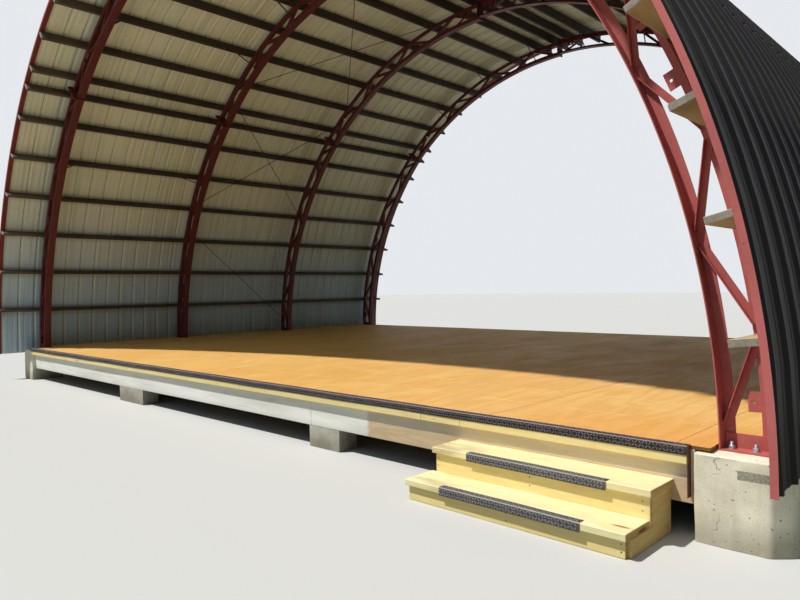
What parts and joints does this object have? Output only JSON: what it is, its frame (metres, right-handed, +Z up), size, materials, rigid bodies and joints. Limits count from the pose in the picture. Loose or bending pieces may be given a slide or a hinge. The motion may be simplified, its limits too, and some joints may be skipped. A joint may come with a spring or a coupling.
{
  "type": "bandstand",
  "caption": "Open-air bandstand: a half-barrel vault of red steel arch trusses with ribbed metal sheeting, open at both ends, over a low timber stage with steps",
  "frame": {"origin": "at ground level, in the middle of the whole footprint", "axes": "+X along the front edge to the side with the steps, +Y from the open front to the back, +Z up"},
  "size_m": [10.9426, 8.303, 5.8663],
  "materials": {
    "concrete": "rough cast concrete",
    "grey_timber": "weathered grey timber",
    "plywood": "golden deck stain",
    "yellow_pine": "fresh sawn pine",
    "dark_timber": "dark aged timber",
    "checkered_plate": "black checkered plate",
    "rusty_steel": "rusted",
    "red_steel": "red oxide paint, slightly chalky",
    "galvanised_steel": "hot dip galvanised",
    "bronze_sheet": "dark bronze coating outside, off-white inside"
  },
  "bodies": {
    "root": {"right_piers": "concrete", "left_piers": "concrete", "stage_blocks": "concrete", "front_beam": "grey_timber", "rear_beam": "grey_timber", "side_beams": "grey_timber", "floor_joists": "grey_timber", "plywood_floor": "plywood", "fascia_strip": "yellow_pine", "stage_nosing": "checkered_plate", "corner_strip": "rusty_steel", "step_treads": "yellow_pine", "step_risers": "yellow_pine", "step_cheeks": "yellow_pine", "step_nosings": "checkered_plate", "base_angles": "red_steel", "anchor_bolts": "galvanised_steel", "truss_1_right_leg": "red_steel", "truss_1_right_crown": "red_steel", "truss_1_left_crown": "red_steel", "truss_1_left_leg": "red_steel", "truss_2_right_leg": "red_steel", "truss_2_right_crown": "red_steel", "truss_2_left_crown": "red_steel", "truss_2_left_leg": "red_steel", "truss_3_right_leg": "red_steel", "truss_3_right_crown": "red_steel", "truss_3_left_crown": "red_steel", "truss_3_left_leg": "red_steel", "truss_4_right_leg": "red_steel", "truss_4_right_crown": "red_steel", "truss_4_left_crown": "red_steel", "truss_4_left_leg": "red_steel", "right_wall_purlins": "dark_timber", "right_roof_purlins": "dark_timber", "left_roof_purlins": "dark_timber", "left_wall_purlins": "dark_timber", "flange_braces": "red_steel", "bracing_rods": "red_steel", "right_lower_sheeting": "bronze_sheet", "right_middle_sheeting": "bronze_sheet", "right_upper_sheeting": "bronze_sheet", "left_upper_sheeting": "bronze_sheet", "left_middle_sheeting": "bronze_sheet", "left_lower_sheeting": "bronze_sheet", "edge_trims": "red_steel"}
  },
  "joints": []
}
